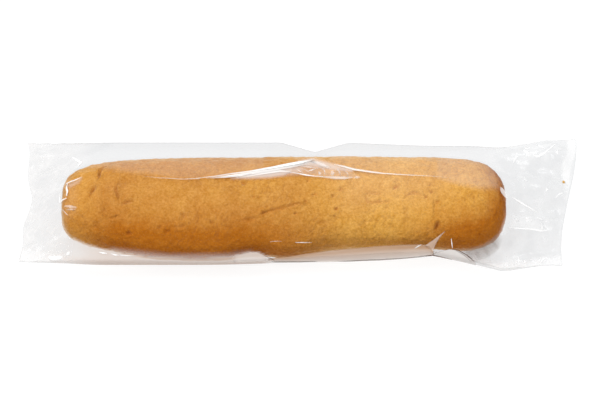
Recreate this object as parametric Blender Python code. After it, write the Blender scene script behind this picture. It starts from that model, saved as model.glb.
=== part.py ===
"""A long hoagie roll shut in a clear film bag that is sealed flat at both ends.

The bag is one solid: its outer form, drawn tight over the roll that fills it.
+X runs along the roll, +Y towards its back and +Z up, in metres. The origin is
the middle of the bag's underside. The bag is worked out about the middle of the
roll first, and moved at the end.
"""

import math

import bmesh
import bpy
import numpy as np

# The roll
ROLL_LENGTH = 0.305
ROLL_WIDTH = 0.075
ROLL_HEIGHT = 0.052
WIDEST_HEIGHT = 0.022  # height of the roll's widest line above the table
LEFT_POWER = 3.5  # higher is blunter, seen from above
RIGHT_POWER = 4.4
DOME_POWER = 2.2  # higher is boxier, across the top crust
BASE_POWER = 2.8  # the same, below the widest line
FLAT_SINK = 0.004  # how much of the round underside is pressed flat
TAPER = 0.07  # share of the section that is lost between these two places
TAPER_SPAN = (-0.050, 0.090)
RIGHT_BOW = 0.0030  # how far the middle line swings back towards each end
RIGHT_BOW_SPAN = (-0.010, 0.100)
LEFT_BOW = 0.0015
LEFT_BOW_SPAN = (0.080, 0.150)

# The bag, as distances from the roll's middle
LEFT_REACH = 0.180
LEFT_LEAN = 0.001  # how far each seal's back corner lies further right
LEFT_DRAW = 0.0045  # how far the middle of the left seal is drawn in
LEFT_RIPPLE = 0.0012
LEFT_RIPPLES = 2.5
RIGHT_REACH = 0.188
RIGHT_LEAN = 0.014
RIGHT_LEAN_POWER = 1.6
SEAL_WIDTH = 0.008
SEAL_HEIGHT = 0.022
FILM_SPAN = 0.0012  # both film layers and the air between them
FILM_GAP = 0.0004  # from the crust to the outside of the film

# The fold along the back
BACK_REACH = 0.0550
BACK_HEIGHT = 0.026
BACK_TAPER = 0.0030  # it comes in past the notch
BACK_TAPER_SPAN = (0.030, 0.110)
RIGHT_FLARE = 0.0105  # and spreads again towards both seals
LEFT_FLARE = 0.0037
RIGHT_FLARE_FROM = 0.145
LEFT_FLARE_FROM = 0.130
NOTCH_AT = 0.0213  # where it is drawn in against the roll
NOTCH_DEPTH = 0.0125
NOTCH_WIDTH = 0.010
NOTCH_ROUNDING = 0.15  # share of the width

# The fold along the front
FRONT_REACH = 0.047
FRONT_HEIGHT = 0.018
FRONT_TAPER = 0.0063  # it comes in towards the pleat
FRONT_TAPER_SPAN = (-0.060, 0.100)
FRONT_SWELL = 0.0105  # and spreads again past it
FRONT_SWELL_SPAN = (0.105, 0.147)

# The tails between the roll and the seals
SETTLE_FROM = 0.120  # both long folds run to the seals' height from here
GATHER_BEFORE = 0.012  # where the soft folds begin and are full, about the roll's end
GATHER_AFTER = 0.021
SEAL_SHARE = 0.4  # of the soft folds' height, left in the flat seal
LEFT_WAVE = 0.0016
LEFT_PITCH = 0.021
LEFT_PHASE = 0.8
RIGHT_WAVE = 0.0020
RIGHT_PITCH = 0.034
RIGHT_PHASE = -0.6

# The mesh
STATIONS = 76
LANES = 30
END_STATIONS = 0.22  # this share of the stations covers
END_LENGTH = 0.16  # this share of the bag at each end
ROUNDS = 1500
SHARP_DEGREES = 50

CONTACT_SHARE = 0.92  # of the roll's width, where the film shows the crust
CRUST_COLOUR = (0.62, 0.31, 0.09)
FILM_COLOUR = (0.86, 0.88, 0.89)


def ramp(x, start, end):
    """0 before start, 1 after end, with a smooth rise between them."""
    share = np.clip((x - start) / (end - start), 0.0, 1.0)
    return share * share * (3.0 - 2.0 * share)


def dip(x, middle, width):
    """1 at the middle of a pointed dip, falling away on both sides."""
    return np.exp(-np.sqrt((x - middle) ** 2 + (NOTCH_ROUNDING * width) ** 2) / width)


def roll_scale(x):
    """Size of the roll's section at x, as a share of the largest."""
    power = np.where(x < 0.0, LEFT_POWER, RIGHT_POWER)
    along = np.clip(np.abs(x) / (ROLL_LENGTH / 2), 0.0, 1.0)
    return (1.0 - along**power) ** (1.0 / power) * (1.0 - TAPER * ramp(x, *TAPER_SPAN))


def middle_line(x):
    """y of the roll's middle line, which bows a little."""
    return RIGHT_BOW * ramp(x, *RIGHT_BOW_SPAN) + LEFT_BOW * ramp(-x, *LEFT_BOW_SPAN)


def crust_arc(x, y, power):
    """Share of a section's full height that is left at y, and 0 outside it."""
    half = np.maximum(ROLL_WIDTH / 2 * roll_scale(x), 1e-6)
    across = np.clip(np.abs(y - middle_line(x)) / half, 0.0, 1.0)
    return np.sqrt(1.0 - across**power) * roll_scale(x)


def roll_top(x, y):
    """Height of the top crust."""
    return WIDEST_HEIGHT + (ROLL_HEIGHT - WIDEST_HEIGHT) * crust_arc(x, y, DOME_POWER)


def roll_base(x, y):
    """Height of the underside, flat where the roll stands."""
    round_base = WIDEST_HEIGHT - (WIDEST_HEIGHT + FLAT_SINK) * crust_arc(x, y, BASE_POWER)
    return np.maximum(round_base, 0.0)


def back_fold(x):
    """Reach and height of the fold along the back."""
    taper = BACK_TAPER * ramp(x, *BACK_TAPER_SPAN)
    flare = RIGHT_FLARE * ramp(x, RIGHT_FLARE_FROM, RIGHT_REACH)
    flare = flare + LEFT_FLARE * ramp(-x, LEFT_FLARE_FROM, LEFT_REACH)
    reach = BACK_REACH - taper + flare - NOTCH_DEPTH * dip(x, NOTCH_AT, NOTCH_WIDTH)
    settle = ramp(np.abs(x), SETTLE_FROM, LEFT_REACH)
    return reach, BACK_HEIGHT + (SEAL_HEIGHT - BACK_HEIGHT) * settle


def front_fold(x):
    """Reach and height of the fold along the front."""
    taper = FRONT_TAPER * ramp(x, *FRONT_TAPER_SPAN)
    swell = FRONT_SWELL * ramp(x, *FRONT_SWELL_SPAN)
    settle = ramp(np.abs(x), SETTLE_FROM, LEFT_REACH)
    return taper - swell - FRONT_REACH, FRONT_HEIGHT + (SEAL_HEIGHT - FRONT_HEIGHT) * settle


def end_edges(t):
    """x of the left and right cut edges, with t from 0 at the front to 1 at the back."""
    left = -LEFT_REACH + LEFT_LEAN * t + LEFT_DRAW * np.sin(math.pi * t) ** 2
    left = left + LEFT_RIPPLE * np.sin(2.0 * math.pi * LEFT_RIPPLES * t)
    return left, RIGHT_REACH + RIGHT_LEAN * t**RIGHT_LEAN_POWER


def soft_folds(x, y, left, right):
    """Lift of the broad folds that gather each tail, flat over the roll."""
    end = ROLL_LENGTH / 2
    left_share = ramp(-x, end - GATHER_BEFORE, end + GATHER_AFTER)
    right_share = ramp(x, end - GATHER_BEFORE, end + GATHER_AFTER)
    left_share = left_share * (SEAL_SHARE + (1.0 - SEAL_SHARE) * ramp(x - left, 0.0, SEAL_WIDTH))
    right_share = right_share * (SEAL_SHARE + (1.0 - SEAL_SHARE) * ramp(right - x, 0.0, SEAL_WIDTH))
    left_wave = LEFT_WAVE * np.sin(2.0 * math.pi * y / LEFT_PITCH + LEFT_PHASE)
    right_wave = RIGHT_WAVE * np.sin(2.0 * math.pi * y / RIGHT_PITCH + RIGHT_PHASE)
    return left_share * left_wave + right_share * right_wave


def drawn_tight(heights, crust, keep_above, spacing):
    """Film pulled flat between its edges, lying on the crust wherever it meets it."""
    pull_x, pull_y = 1.0 / spacing[0] ** 2, 1.0 / spacing[1] ** 2
    total = 2.0 * (pull_x + pull_y)
    film = heights.copy()
    for _ in range(ROUNDS):
        along = film[2:, 1:-1] + film[:-2, 1:-1]
        across = film[1:-1, 2:] + film[1:-1, :-2]
        film[1:-1, 1:-1] = (pull_x * along + pull_y * across) / total
        film = np.maximum(film, crust) if keep_above else np.minimum(film, crust)
    return film


def station_shares():
    """Places of the stations along the bag, closer together at both ends."""
    even = np.linspace(0.0, 1.0, STATIONS + 1)
    knots = [0.0, END_STATIONS, 1.0 - END_STATIONS, 1.0]
    return np.interp(even, knots, [0.0, END_LENGTH, 1.0 - END_LENGTH, 1.0])


def bag_surfaces():
    """x, y, upper film and lower film at each grid point, station by station."""
    s = station_shares()[:, None]
    t = np.linspace(0.0, 1.0, LANES + 1)[None, :]
    left, right = end_edges(t)
    x = left + (right - left) * s
    back, back_height = back_fold(x)
    front, front_height = front_fold(x)
    y = front + (back - front) * t
    middle = front_height + (back_height - front_height) * t
    spacing = ((LEFT_REACH + RIGHT_REACH) / STATIONS, (BACK_REACH + FRONT_REACH) / LANES)

    upper = drawn_tight(middle + FILM_SPAN / 2, roll_top(x, y) + FILM_GAP, True, spacing)
    lower = drawn_tight(middle - FILM_SPAN / 2, roll_base(x, y), False, spacing)

    seal = np.maximum(1.0 - ramp(x - left, 0.0, SEAL_WIDTH), 1.0 - ramp(right - x, 0.0, SEAL_WIDTH))
    upper = upper + (middle + FILM_SPAN / 2 - upper) * seal
    lower = lower + (middle - FILM_SPAN / 2 - lower) * seal
    lift = soft_folds(x, y, left, right)
    return x, y, upper + lift, lower + lift


def bag_mesh():
    """The closed bag: a grid for the lower film, raised to make the upper one."""
    x, y, upper, lower = bag_surfaces()
    bm = bmesh.new()
    bmesh.ops.create_grid(bm, x_segments=STATIONS, y_segments=LANES, size=0.5)
    below = list(bm.verts)
    raised = bmesh.ops.extrude_face_region(bm, geom=bm.faces[:], use_keep_orig=True)
    above = [part for part in raised["geom"] if isinstance(part, bmesh.types.BMVert)]
    for verts, heights in ((below, lower), (above, upper)):
        for vert in verts:
            i = round((vert.co.x + 0.5) * STATIONS)
            j = round((vert.co.y + 0.5) * LANES)
            vert.co = (x[i, j], y[i, j], heights[i, j])

    corners = np.array([vert.co for vert in bm.verts])
    lowest, highest = corners.min(axis=0), corners.max(axis=0)
    centre = (lowest + highest) / 2
    bmesh.ops.translate(bm, verts=bm.verts, vec=(-centre[0], -centre[1], -lowest[2]))
    bmesh.ops.recalc_face_normals(bm, faces=bm.faces)
    bmesh.ops.triangulate(bm, faces=bm.faces)

    mesh = bpy.data.meshes.new("sealed_bag")
    bm.to_mesh(mesh)
    bm.free()
    return mesh, centre


def finish(name, colour, roughness, alpha):
    """A plain material."""
    material = bpy.data.materials.new(name)
    material.use_nodes = True
    shader = material.node_tree.nodes["Principled BSDF"]
    shader.inputs["Base Color"].default_value = (*colour, 1.0)
    shader.inputs["Roughness"].default_value = roughness
    shader.inputs["Alpha"].default_value = alpha
    return material


def make_bag():
    """The bag, crust-coloured where the film lies on the roll."""
    mesh, centre = bag_mesh()
    bag = bpy.data.objects.new("sealed_bag", mesh)
    bpy.context.scene.collection.objects.link(bag)
    mesh.materials.append(finish("crust under film", CRUST_COLOUR, 0.35, 1.0))
    mesh.materials.append(finish("clear film", FILM_COLOUR, 0.12, 0.35))
    for face in mesh.polygons:
        x, y = face.center.x + centre[0], face.center.y + centre[1]
        on_roll = abs(y) < CONTACT_SHARE * ROLL_WIDTH / 2 * roll_scale(x)
        face.material_index = 0 if on_roll else 1
    mesh.shade_smooth()
    mesh.set_sharp_from_angle(angle=math.radians(SHARP_DEGREES))


for old in list(bpy.data.objects):
    bpy.data.objects.remove(old)
make_bag()
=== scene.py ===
import math

import bmesh
import bpy
import numpy as np
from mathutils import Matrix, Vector, noise
from mathutils.bvhtree import BVHTree


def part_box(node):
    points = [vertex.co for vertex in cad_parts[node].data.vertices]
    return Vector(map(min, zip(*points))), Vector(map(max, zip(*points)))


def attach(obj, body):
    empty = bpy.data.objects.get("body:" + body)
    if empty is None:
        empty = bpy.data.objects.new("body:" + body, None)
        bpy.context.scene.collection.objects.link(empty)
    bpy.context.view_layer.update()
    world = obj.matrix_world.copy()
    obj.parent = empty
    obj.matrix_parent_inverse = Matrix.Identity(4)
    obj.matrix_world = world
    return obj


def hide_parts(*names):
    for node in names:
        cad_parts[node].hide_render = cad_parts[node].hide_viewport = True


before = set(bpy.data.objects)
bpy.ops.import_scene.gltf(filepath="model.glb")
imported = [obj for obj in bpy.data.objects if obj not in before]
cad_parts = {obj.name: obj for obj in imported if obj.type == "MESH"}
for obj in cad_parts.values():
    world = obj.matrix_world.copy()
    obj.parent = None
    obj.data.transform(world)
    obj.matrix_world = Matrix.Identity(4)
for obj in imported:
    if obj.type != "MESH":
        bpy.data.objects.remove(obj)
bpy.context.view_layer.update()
bagLow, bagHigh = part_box("sealed_bag")


def smoothStep(x, start, end):
    share = np.clip((x - start) / (end - start), 0.0, 1.0)
    return share * share * (3.0 - 2.0 * share)


def noiseField(x, y, z, size, octaves=1):
    # one smooth noise value, about -1 to 1, for each point
    flat = np.stack([np.ravel(x), np.ravel(y), np.ravel(z)], axis=1) / size
    if octaves == 1:
        found = [noise.noise(p) for p in flat]
    else:
        found = [noise.fractal(p, 1.0, 2.0, octaves) for p in flat]
    return np.array(found).reshape(np.shape(x))


# The photograph's frame and the camera that saw it.
view = {
    "pixels": (600, 400),
    "elevation": 50.0,  # degrees above the table
    "distance": 2.4,
    "lens": 209.6,  # millimetres, as its sensor
    "sensor": 36.0,
    "aim": (0.0, -0.0038, 0.0275),
    "clipEnd": 50.0,
}


def viewAxes():
    # towards the camera, and up in its picture
    lean = math.radians(view["elevation"])
    return Vector((0.0, -math.cos(lean), math.sin(lean))), Vector((0.0, math.sin(lean), math.cos(lean)))


def photoRay(px, py):
    # from the camera through a pixel of the photograph
    back, up = viewAxes()
    wide, high = view["pixels"]
    step = view["sensor"] / view["lens"] / wide
    way = Vector((px - wide / 2, 0.0, 0.0)) * step + up * (high / 2 - py) * step - back
    return Vector(view["aim"]) + back * view["distance"], way.normalized()


def photoPixels(x, y, z):
    # the pixel that shows each point
    back, up = viewAxes()
    wide, high = view["pixels"]
    x, y, z = x - view["aim"][0], y - view["aim"][1], z - view["aim"][2]
    step = view["sensor"] / view["lens"] / wide * (view["distance"] - y * back.y - z * back.z)
    return wide / 2 + x / step, high / 2 - (y * up.y + z * up.z) / step


def makeCamera():
    camera = bpy.data.objects.new("camera", bpy.data.cameras.new("camera"))
    bpy.context.scene.collection.objects.link(camera)
    back, _ = viewAxes()
    camera.location = Vector(view["aim"]) + back * view["distance"]
    camera.rotation_euler = (-back).to_track_quat("-Z", "Y").to_euler()
    camera.data.lens = view["lens"]
    camera.data.sensor_width = view["sensor"]
    camera.data.clip_end = view["clipEnd"]
    bpy.context.scene.camera = camera


def startMaterial(name):
    # returns the material, its nodes and the socket that takes the finished shader
    material = bpy.data.materials.new(name)
    material.use_nodes = True
    nodes = material.node_tree.nodes
    nodes.clear()
    return material, nodes, nodes.new("ShaderNodeOutputMaterial").inputs["Surface"]


def addNode(nodes, kind, **inputs):
    node = nodes.new(kind)
    for key, value in inputs.items():
        node.inputs[key.replace("_", " ")].default_value = value
    return node


def feed(socket, value):
    # a socket takes another node's output, or a plain value
    if isinstance(value, bpy.types.NodeSocket):
        value.id_data.links.new(value, socket)
    else:
        socket.default_value = value


def mixColors(nodes, share, first, second, blend="MIX"):
    node = nodes.new("ShaderNodeMix")
    node.data_type = "RGBA"
    node.blend_type = blend
    for k, value in ((0, share), (6, first), (7, second)):  # 6 and 7 take its two colors
        feed(node.inputs[k], (*value, 1.0) if isinstance(value, tuple) else value)
    return node.outputs[2]


def calculate(nodes, operation, *values):
    node = nodes.new("ShaderNodeMath")
    node.operation = operation
    for socket, value in zip(node.inputs, values):
        feed(socket, value)
    return node.outputs[0]


def mixShaders(nodes, share, first, second):
    node = nodes.new("ShaderNodeMixShader")
    for socket, value in zip(node.inputs, (share, first, second)):
        feed(socket, value)
    return node.outputs[0]


noiseSpan = (0.3, 0.7)  # nearly all of a noise texture's values


def speckled(nodes, scale, detail, rough, low, high):
    # noise on the piece's own coordinates, from low to high
    coordinates = nodes.new("ShaderNodeTexCoord")
    grain = addNode(nodes, "ShaderNodeTexNoise", Scale=scale, Detail=detail, Roughness=rough)
    feed(grain.inputs["Vector"], coordinates.outputs["Object"])
    start, end = noiseSpan
    spread = addNode(nodes, "ShaderNodeMapRange", From_Min=start, From_Max=end, To_Min=low, To_Max=high)
    feed(spread.inputs["Value"], grain.outputs["Fac"])
    return spread.outputs[0]


def painted(nodes, name):
    # reads what paint or a vertex layer holds
    node = nodes.new("ShaderNodeAttribute")
    node.attribute_name = name
    return node.outputs["Fac"]


def addPiece(bm, name, *materials):
    mesh = bpy.data.meshes.new(name)
    bm.to_mesh(mesh)
    bm.free()
    for material in materials:
        mesh.materials.append(material)
    piece = bpy.data.objects.new(name, mesh)
    bpy.context.scene.collection.objects.link(piece)
    return piece


def keep(bm, name, slot, *materials):
    # ends a piece of the part: its body and its finish; slot, what it stands for, is not used
    piece = addPiece(bm, name, *materials)
    piece.data.shade_smooth()
    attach(piece, "root")
    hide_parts("sealed_bag")
    print(name, len(piece.data.polygons), "faces")
    return piece


def paint(piece, name, values):
    # one number for each vertex, which the material reads
    layer = piece.data.attributes.new(name, "FLOAT", "POINT")
    layer.data.foreach_set("value", np.asarray(values, np.float32))


# Everything is worked out in metres about the middle of the roll, x along it and y to its
# back, and then moved by rollAt to its place in the CAD.
roll = {
    "length": 0.307,
    "width": 0.0757,
    "height": 0.052,
    "widestHeight": 0.022,
    "leftPower": 4.1,  # higher is blunter, seen from above
    "rightCap": 0.0385,  # length of the rounded right end
    "rightPower": 2.7,
    "domePower": 2.2,  # higher is boxier, across the crown
    "basePower": 2.8,
    "flatSink": 0.004,
    "taper": 0.07,
    "taperSpan": (-0.050, 0.090),
    "rightBow": 0.0035,
    "rightBowSpan": (-0.010, 0.045),
    "rightDip": 0.0019,
    "rightDipSpan": (0.098, 0.132),
    "bulge": 0.024,  # a little stouter near the middle
    "bulgeAt": -0.002,
    "bulgeSize": 0.020,
    "bellies": (  # where the front stands out: from, full, full, to, how far
        (-0.128, -0.085, -0.045, -0.020, 0.0042),
        (-0.010, -0.001, 0.010, 0.034, 0.0018),
    ),
    "leftBow": 0.0008,
    "leftBowSpan": (0.070, 0.150),
    "rings": 440,
    "sides": 216,
    "outlineSteps": 20001,
    "crownShare": 0.35,  # how much closer the mesh is on the crown than below
    "underFilm": 0.0005,  # the lower film lies between the roll and the table
    "pressedTo": 0.006,  # height up to which the crust is pressed smooth
    "lump": 0.0005,  # broad unevenness of the crust
    "lumpSize": 0.045,
    "pucker": 0.00074,  # leathery wrinkling
    "puckerSize": 0.009,
    "leather": 0.00063,  # finer, in streaks across the roll
    "leatherSize": 0.0048,
    "leatherStretch": 1.7,
}


def sectionScale(x):
    # how large the section is there, 0 at the tips
    end = roll["length"] / 2
    left = np.clip(-x / end, 0.0, 1.0)
    right = np.clip((x - end + roll["rightCap"]) / roll["rightCap"], 0.0, 1.0)
    blunt = (1.0 - left ** roll["leftPower"]) ** (1.0 / roll["leftPower"])
    rounded = (1.0 - right ** roll["rightPower"]) ** (1.0 / roll["rightPower"])
    bulge = roll["bulge"] * np.exp(-(((x - roll["bulgeAt"]) / roll["bulgeSize"]) ** 2))
    return blunt * rounded * (1.0 + bulge - roll["taper"] * smoothStep(x, *roll["taperSpan"]))


def middleLine(x):
    # how far back the section's middle lies
    right = roll["rightBow"] * smoothStep(x, *roll["rightBowSpan"])
    right = right - roll["rightDip"] * smoothStep(x, *roll["rightDipSpan"])
    return right + roll["leftBow"] * smoothStep(-x, *roll["leftBowSpan"])


def frontBelly(x):
    # how much farther out the front is than the back
    out = 0.0
    for start, full, stay, end, depth in roll["bellies"]:
        out = out + depth * smoothStep(x, start, full) * (1.0 - smoothStep(x, stay, end))
    return out


def crustArc(x, y, power):
    # height of the section's curve over its widest line, as a share
    half = np.maximum(roll["width"] / 2 * sectionScale(x), 1e-6)  # a little is left at the tips
    half = half + np.where(y < middleLine(x), frontBelly(x), 0.0)
    across = np.clip(np.abs(y - middleLine(x)) / half, 0.0, 1.0)
    return np.sqrt(1.0 - across**power) * sectionScale(x)


def crustTop(x, y):
    rise = roll["height"] - roll["widestHeight"]
    return roll["widestHeight"] + rise * crustArc(x, y, roll["domePower"])


def crustBase(x, y):
    drop = roll["widestHeight"] + roll["flatSink"]
    return np.maximum(roll["widestHeight"] - drop * crustArc(x, y, roll["basePower"]), 0.0)


# Wrinkles of the crown: depth and half width in millimetres, how much painted shade darkens the hollow, and
# its path in the photograph's pixels. One point makes a pit; a depth below 0 makes a swelling.
wrinkles = {
    "depth": 2.0,  # this and the next two multiply the values in the lines below
    "width": 0.9,
    "shade": 0.36,
    "lip": 0.35,  # swelling beside the hollow, as a share of its depth
    "lipAt": 2.0,  # half widths from its middle
    "wander": 0.0011,
    "wanderSize": 0.005,
    "wanderSeed": 0.3,
    "strength": 0.90,
    "vary": 0.4,
    "varySize": 0.006,
    "varySeed": 0.5,
    "thin": 0.4,  # share of the width left at its ends
    "rayFrom": 0.0572,  # height over the table, clear of the crown
    "raySteps": 4000,
    "lines": (
        (1.4, 1.25, 1.7, (106, 165.3), (100.6, 168.4), (99.3, 172.9), (98.4, 176), (96.2, 178.7)),
        (1.1, 1.3, 1.3, (96.2, 182.7), (94.4, 187), (91.7, 190.7), (89, 196)),
        (1.1, 1.25, 1.2, (115, 183.6), (116.3, 188.9), (117.1, 195.1), (118, 198.8)),
        (-0.5, 1.8, 0.0, (100, 184), (99, 196), (101, 206)),
        (-0.4, 1.8, 0.0, (108, 182), (107, 192), (108.6, 200)),
        (0.7, 1.4, 0.5, (103.8, 205), (102.9, 212), (102.4, 217.5)),
        (0.5, 1.2, 0.2, (106, 219.3), (113.5, 218), (121.6, 215.1)),
        (0.8, 1.2, 0.7, (115.3, 215.7), (115, 216.5)),
        (0.9, 1.3, 0.7, (121.2, 204.7), (126.3, 201.5), (133.8, 200.4)),
        (0.9, 1.5, 1.0, (128.7, 231.7), (128.2, 234), (127.3, 236.4)),
        (0.6, 1.3, 0.5, (149.7, 185.4), (148.5, 187.9)),
        (0.7, 1.5, 0.5, (160.9, 225.5), (156.8, 230)),
        (0.6, 1.5, 0.5, (168.9, 229.9), (164.2, 233.7)),
        (0.9, 1.7, 0.9, (240.8, 180.5), (246, 182.9)),
        (0.8, 1.2, 0.6, (254.5, 194), (252.7, 197.6)),
        (0.6, 1.1, 0.5, (258.9, 195.1), (257.6, 197.1)),
        (0.5, 1.5, 0.3, (234, 221.2), (248.2, 220.1), (257, 217.8), (261.6, 213.4)),
        (
            0.85, 1.25, 0.42, (261.6, 213.4), (267, 211), (280.4, 209), (284.8, 206.9), (292, 204.7),
            (298.2, 202.8), (304.5, 204.2), (309, 203.4),
        ),
        (0.9, 1.2, 0.7, (305.8, 198.2), (305.4, 201.6)),
        (0.7, 1.1, 0.4, (312.7, 196.6), (313.4, 194.1), (316.6, 193.8), (318.6, 196.4)),
        (0.7, 1.4, 0.6, (296.4, 212), (295.6, 214)),
        (0.8, 1.3, 0.7, (334.4, 193.5), (333.4, 196.8)),
        (1.2, 1.7, 1.3, (337.2, 207.4), (336.2, 210)),
        (1.0, 1.5, 1.1, (335.6, 214.6), (335, 217.6)),
        (0.7, 1.2, 0.5, (338.5, 190.6), (342.9, 186.3)),
        (
            0.8, 1.2, 0.6, (364.4, 194), (368.2, 200.6), (372.5, 202.7), (379.6, 200.6), (385.6, 201.6),
            (392, 201.1),
        ),
        (0.5, 1.1, 0.4, (365.4, 193.2), (374.6, 191.8), (381.6, 193.2)),
        (0.9, 1.3, 0.7, (393, 188.6), (396.4, 186), (399, 185.4)),
        (0.7, 1.3, 0.5, (405, 195), (413.8, 192.4), (418, 192.4), (423.5, 194.6)),
        (0.7, 1.3, 0.5, (429.8, 182.6), (429.2, 185)),
        (0.9, 1.4, 0.8, (433, 190.2), (432.1, 192.7)),
        (0.8, 1.2, 0.6, (424.6, 197), (427, 195.6)),
        (0.7, 1.2, 0.5, (436.4, 202.2), (438.8, 199.8)),
        (1.3, 1.7, 1.1, (438.6, 221.7), (437.4, 225.9), (435.8, 230.5)),
        (-0.9, 1.4, 0.0, (435.2, 221.9), (434.2, 226), (432.8, 229.8)),
        (-0.6, 1.6, 0.0, (432.6, 198.1), (431.6, 207), (431.4, 216.1)),
        (0.6, 1.2, 0.6, (426.4, 229.6), (427.4, 230.8)),
        (0.6, 1.3, 0.6, (283.5, 163.1)),
        (0.6, 1.3, 0.5, (197.7, 174.8)),
        (0.6, 1.2, 0.5, (262.8, 213.2)),
        (0.6, 1.4, 0.5, (212.6, 222.4)),
        (0.6, 1.8, 0.5, (184, 215.7)),
        (0.7, 1.6, 0.6, (182.1, 226.9)),
        (0.6, 1.2, 0.5, (295.6, 213.5)),
        (0.6, 2.4, 0.5, (95.1, 226.4)),
        (0.8, 1.3, 0.7, (308.8, 180.1)),
        (-0.6, 1.3, 0.0, (291, 199.2)),
        (-0.6, 1.5, 0.0, (263.9, 208.9)),
        (0.5, 1.2, 0.5, (403.2, 240.4)),
    ),
}


def onCrust(px, py):
    # the point of the crown that a pixel of the photograph shows
    start, way = photoRay(px, py)
    start = start - rollAt
    z = np.linspace(wrinkles["rayFrom"], roll["widestHeight"], wrinkles["raySteps"])
    x, y = (start[k] + way[k] * (z - start.z) / way.z for k in (0, 1))
    met = np.argmax(crustTop(x, y) >= z)
    return x[met], y[met], z[met]


def wrinkleField(points):
    # how deep each point sinks, and how much painted shade darkens it
    sink, dark = np.zeros(len(points)), np.zeros(len(points))
    bent = points.copy()
    for k in (0, 1):
        apart = points.T + wrinkles["wanderSeed"] * k
        bent[:, k] += wrinkles["wander"] * noiseField(*apart, wrinkles["wanderSize"])
    vary = noiseField(*(points.T + wrinkles["varySeed"]), wrinkles["varySize"])
    strength = wrinkles["strength"] + wrinkles["vary"] * vary
    for depth, width, shade, *path in wrinkles["lines"]:
        line = np.array([onCrust(*pixel) for pixel in path + path[-1:]])
        spans = np.linalg.norm(np.diff(line, axis=0), axis=1)
        near, at, gone = np.full(len(points), np.inf), np.full(len(points), 0.5), 0.0
        for a, b, span in zip(line[:-1], line[1:], spans):
            run = b - a
            share = np.clip((bent - a) @ run / max(run @ run, 1e-9), 0.0, 1.0)  # a pit's run is 0
            away = np.linalg.norm(bent - a - share[:, None] * run, axis=1)
            if spans.sum() > 0.0:
                at = np.where(away < near, (gone + share * span) / spans.sum(), at)
            near = np.minimum(near, away)
            gone += span
        thin = wrinkles["thin"] + (1.0 - wrinkles["thin"]) * np.sin(math.pi * at)
        off = near * 1000 / (width * wrinkles["width"] * thin)
        fall = np.exp(-(off**2)) * strength * thin
        lip = np.exp(-((off - wrinkles["lipAt"]) ** 2)) * thin
        sink += wrinkles["depth"] * depth / 1000 * (fall - wrinkles["lip"] * lip)
        dark = np.maximum(dark, wrinkles["shade"] * shade * fall)
    return sink, dark


# Fine meandering creases between noise of either sign, in patches, darkened with painted shade.
cracks = {
    "size": 0.0065,
    "stretch": 1.3,
    "thin": 5.0,
    "depth": 0.00028,
    "shade": 0.31,
    "patchSize": 0.024,
    "patchSpan": (-0.15, 0.35),
}


def crackField(x, y, z):
    lines = np.abs(noiseField(x * cracks["stretch"], y, z, cracks["size"], 2))
    lines = np.clip(1.0 - lines * cracks["thin"], 0.0, 1.0) ** 2
    return lines * smoothStep(noiseField(x, y, z, cracks["patchSize"]), *cracks["patchSpan"])


def evenStations():
    # x of each ring, evenly spaced along the crust's outline seen from above
    turn = np.linspace(0.0, math.pi, roll["outlineSteps"])
    x = -np.cos(turn) * roll["length"] / 2
    out = sectionScale(x) * roll["width"] / 2
    travelled = np.concatenate([[0.0], np.cumsum(np.hypot(np.diff(x), np.diff(out)))])
    return np.interp(np.linspace(0.0, travelled[-1], roll["rings"] + 1), travelled, x)


def makeRoll(material):
    # a ball whose rings and sides are drawn out to the roll's sections, then wrinkled
    bm = bmesh.new()
    bmesh.ops.create_uvsphere(bm, u_segments=roll["sides"], v_segments=roll["rings"], radius=1.0)
    ball = np.array([v.co for v in bm.verts])
    ring = np.rint(np.arccos(np.clip(-ball[:, 2], -1.0, 1.0)) / math.pi * roll["rings"]).astype(int)
    x = evenStations()[ring]
    turn = np.arctan2(ball[:, 1], ball[:, 0])
    turn = turn + roll["crownShare"] * np.cos(turn)
    c, s = np.cos(turn), np.sin(turn)
    scale = sectionScale(x)
    power = np.where(s > 0.0, roll["domePower"], roll["basePower"])
    half = roll["width"] / 2 * scale + np.where(c < 0.0, frontBelly(x), 0.0)
    y = middleLine(x) + half * np.sign(c) * np.abs(c) ** (2.0 / power)
    rise = roll["height"] - roll["widestHeight"]
    drop = roll["widestHeight"] + roll["flatSink"]
    z = roll["widestHeight"] + scale * np.where(s > 0.0, rise, drop) * s
    z = np.maximum(z, roll["underFilm"])
    lumps = noiseField(x, y, z, roll["lumpSize"])
    for v, px, py, pz in zip(bm.verts, x, y, z):
        v.co = (px, py, pz)
    bm.normal_update()
    normals = np.array([v.normal for v in bm.verts])
    pucker = noiseField(x, y, z, roll["puckerSize"], 3)
    leather = noiseField(x * roll["leatherStretch"], y, z, roll["leatherSize"], 2)
    hollow, dark = wrinkleField(np.stack([x, y, z], axis=1))
    sink = roll["lump"] * (lumps - 1.0) / 2 + roll["pucker"] * (pucker - 1.0) / 2
    crack = crackField(x, y, z)
    sink = sink + roll["leather"] * (leather - 1.0) / 2 - hollow - cracks["depth"] * crack
    sink = np.minimum(sink, 0.0) * smoothStep(z, roll["underFilm"], roll["pressedTo"])
    for v, n, d in zip(bm.verts, normals, sink):
        v.co = v.co + Vector(n) * d + rollAt
    piece = keep(bm, "hoagie_roll", "crust", material)
    along, fair, brownAndShade = np.array(crustLook["bake"]).T
    low, high = crustLook["brownShadeSpan"]
    edge = z + crustLook["lowWander"] * pucker
    # painted shade in the wrinkles and cracks
    paint(piece, "hollow", np.maximum(dark, cracks["shade"] * crack))
    # where the painted sheen is kept, fading out at the right end
    paint(piece, "paintedSheen", 1.0 - smoothStep(x, *crustLook["paintedSheenSpan"]))
    paint(piece, "fair", np.interp(x * 1000, along, fair))
    # the lower side painted browner and darker: its own browner crust with painted shade
    paint(piece, "brownAndShade", np.interp(x * 1000, along, brownAndShade) * (1.0 - smoothStep(edge, low, high)))


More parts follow.
